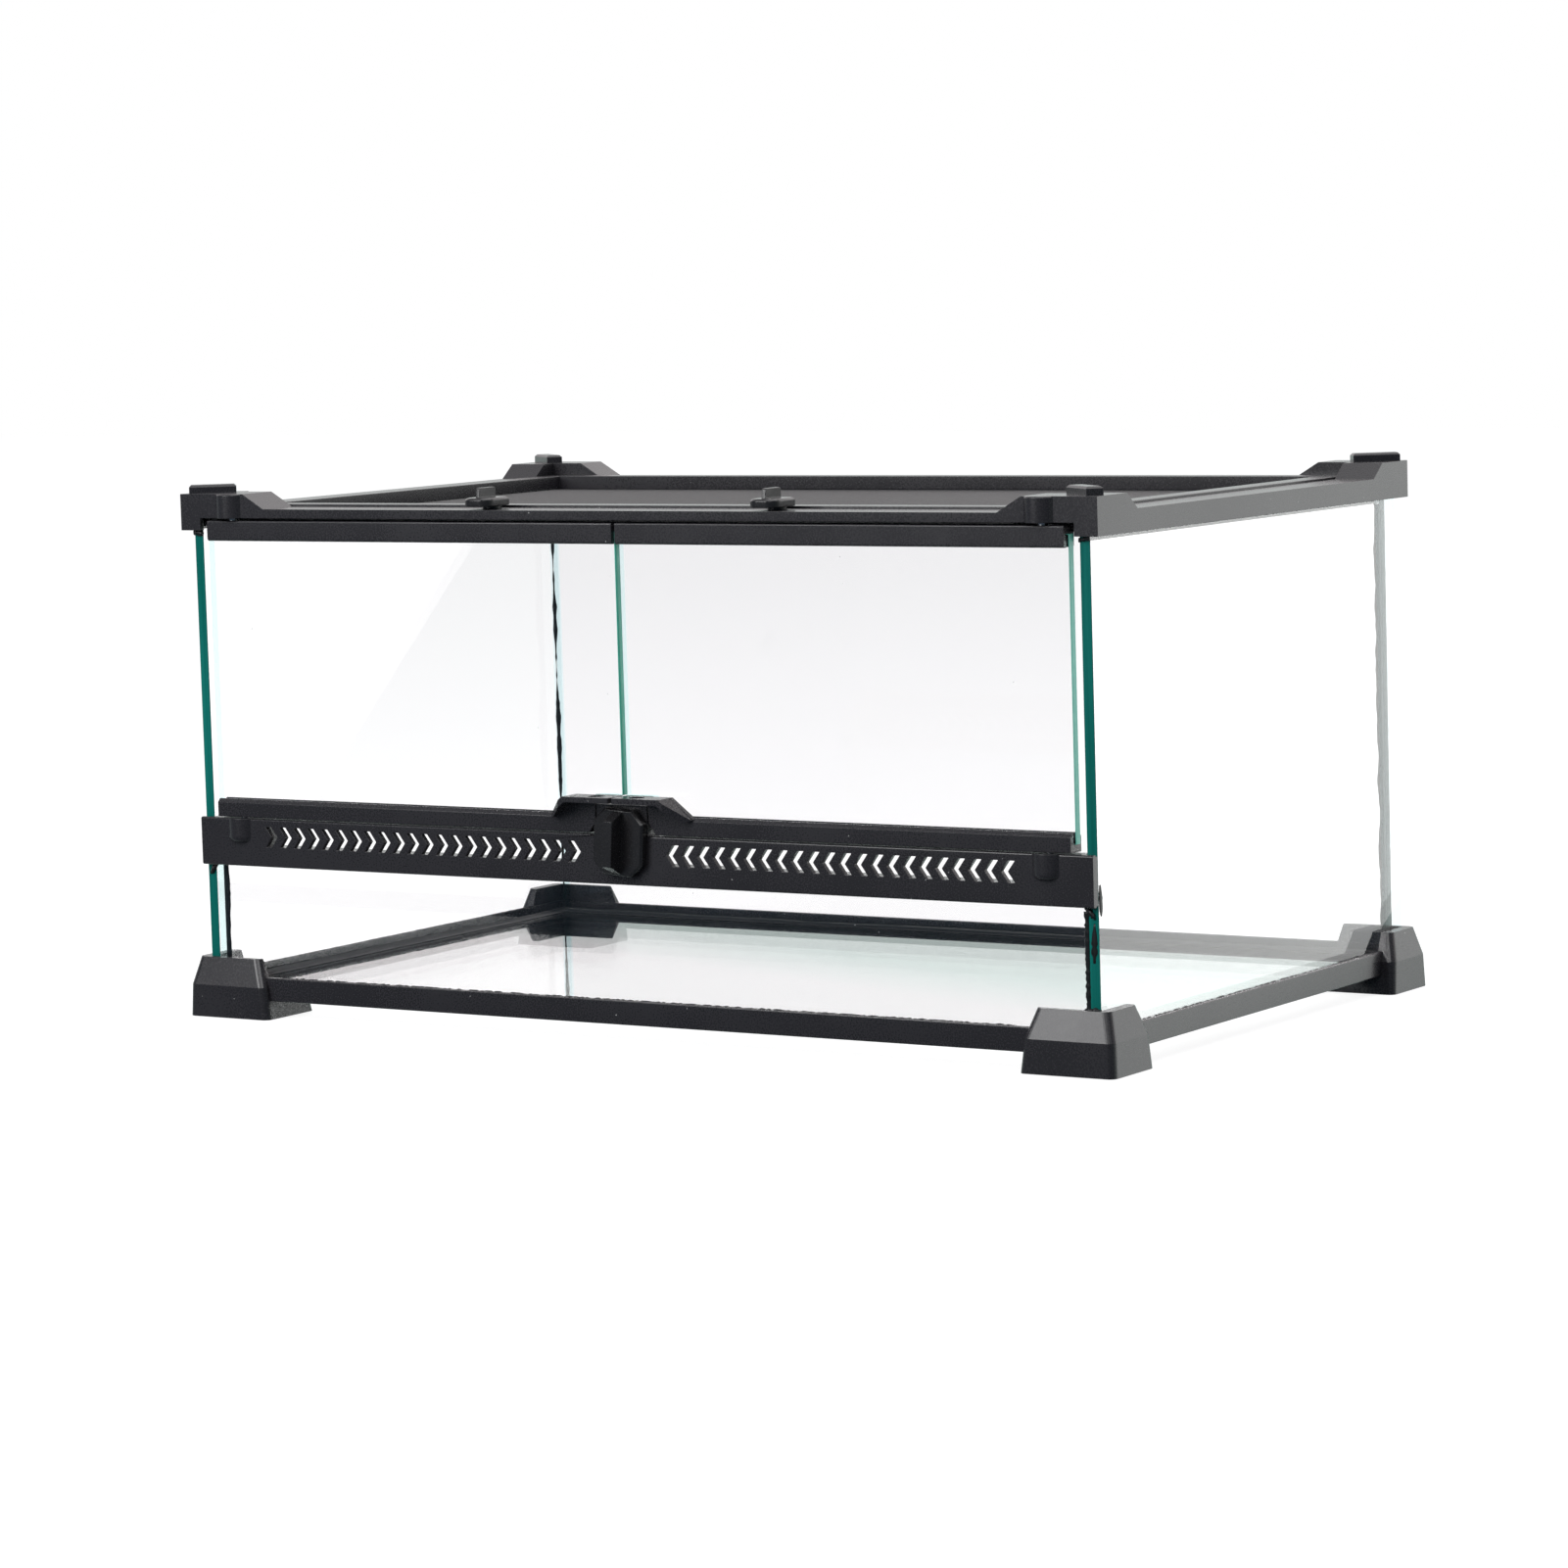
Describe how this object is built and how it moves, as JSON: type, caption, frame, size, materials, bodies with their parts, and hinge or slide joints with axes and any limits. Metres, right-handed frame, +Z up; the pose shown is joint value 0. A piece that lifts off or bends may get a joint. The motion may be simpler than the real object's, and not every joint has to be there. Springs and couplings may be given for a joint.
{
  "type": "reptile terrarium",
  "caption": "Front-opening glass reptile terrarium with moulded frames, two swing doors, a slotted vent rail with a turn knob, and a lift-out mesh lid.",
  "frame": {"origin": "centre of the overall box in X and Y, knob included, on the floor under the feet", "axes": "+X to the right seen from the front, +Y to the back, +Z up; the doors open towards -Y"},
  "size_m": [0.5, 0.3096, 0.25],
  "materials": {
    "black_plastic": "fine-grained moulded plastic, low sheen",
    "clear_glass": "clear float glass with green polished edges",
    "black_silicone": "smooth cured silicone bead",
    "steel": "plain turned steel",
    "screen_mesh": "black powder-coated wire screen"
  },
  "bodies": {
    "tank": {"base_frame": "black_plastic", "foot_front_left": "black_plastic", "foot_front_right": "black_plastic", "foot_rear_left": "black_plastic", "foot_rear_right": "black_plastic", "floor_pane": "clear_glass", "left_pane": "clear_glass", "right_pane": "clear_glass", "rear_pane": "clear_glass", "lower_front_pane": "clear_glass", "vent_rail": "black_plastic", "top_frame": "black_plastic", "floor_seal": "black_silicone", "rear_left_seal": "black_silicone", "rear_right_seal": "black_silicone", "front_left_seal": "black_silicone", "front_right_seal": "black_silicone"},
    "left_door": {"left_door_pane": "clear_glass", "left_door_top_rail": "black_plastic", "left_door_bottom_rail": "black_plastic", "left_door_pins": "steel"},
    "right_door": {"right_door_pane": "clear_glass", "right_door_top_rail": "black_plastic", "right_door_bottom_rail": "black_plastic", "right_door_pins": "steel"},
    "knob": {"lock_knob": "black_plastic", "knob_washer": "steel", "knob_screw": "steel"},
    "left_latch": {"left_lid_latch": "black_plastic", "left_latch_clip": "steel"},
    "right_latch": {"right_lid_latch": "black_plastic", "right_latch_clip": "steel"},
    "lid": {"lid_frame": "black_plastic", "lid_mesh": "screen_mesh"}
  },
  "joints": [
    {"name": "left_door_hinge", "type": "hinge", "parent": "tank", "child": "left_door", "pos_m": [-0.2175, -0.13775, 0.16], "axis": [0, 0, -1], "range_deg": [0, 110]},
    {"name": "right_door_hinge", "type": "hinge", "parent": "tank", "child": "right_door", "pos_m": [0.2175, -0.13775, 0.16], "axis": [0, 0, 1], "range_deg": [0, 110]},
    {"name": "knob_turn", "type": "hinge", "parent": "tank", "child": "knob", "pos_m": [0, -0.14225, 0.0916], "axis": [0, 1, 0], "range_deg": [-4, 86]},
    {"name": "left_latch_turn", "type": "hinge", "parent": "tank", "child": "left_latch", "pos_m": [-0.077, -0.12625, 0.2405], "axis": [0, 0, 1], "range_deg": [0, 180]},
    {"name": "right_latch_turn", "type": "hinge", "parent": "tank", "child": "right_latch", "pos_m": [0.077, -0.12625, 0.2405], "axis": [0, 0, -1], "range_deg": [0, 180]},
    {"name": "lid_lift", "type": "slide", "parent": "tank", "child": "lid", "axis": [0, 0, 1], "range_m": [0, 0.25]}
  ]
}
